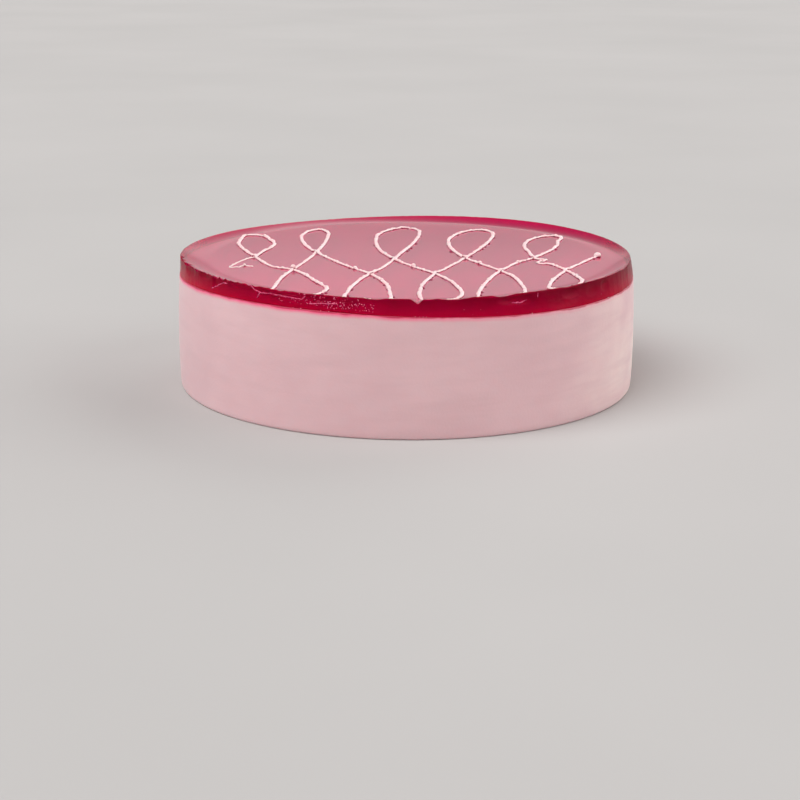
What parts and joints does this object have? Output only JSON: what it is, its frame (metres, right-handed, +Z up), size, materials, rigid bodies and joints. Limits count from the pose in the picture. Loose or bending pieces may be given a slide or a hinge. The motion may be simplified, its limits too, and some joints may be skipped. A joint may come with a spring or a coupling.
{
  "type": "strawberry yogurt cake",
  "caption": "Round chilled yogurt mousse cake with a clear red jelly layer on top and a white line piped over it in loops.",
  "frame": {"origin": "middle of the flat base, where the cake rests on its plate", "axes": "+Z up through the middle of the cake, -Y to the front of the cake, +X to the viewer's right when facing the front"},
  "size_m": [0.2203, 0.2197, 0.0637],
  "materials": {
    "mousse": "matte, soft, faintly mottled pink yogurt mousse",
    "jelly": "clear glossy red fruit jelly",
    "piping": "satin white piped icing"
  },
  "bodies": {
    "root": {"mousse": "mousse", "jelly": "jelly", "piping": "piping"}
  },
  "joints": []
}
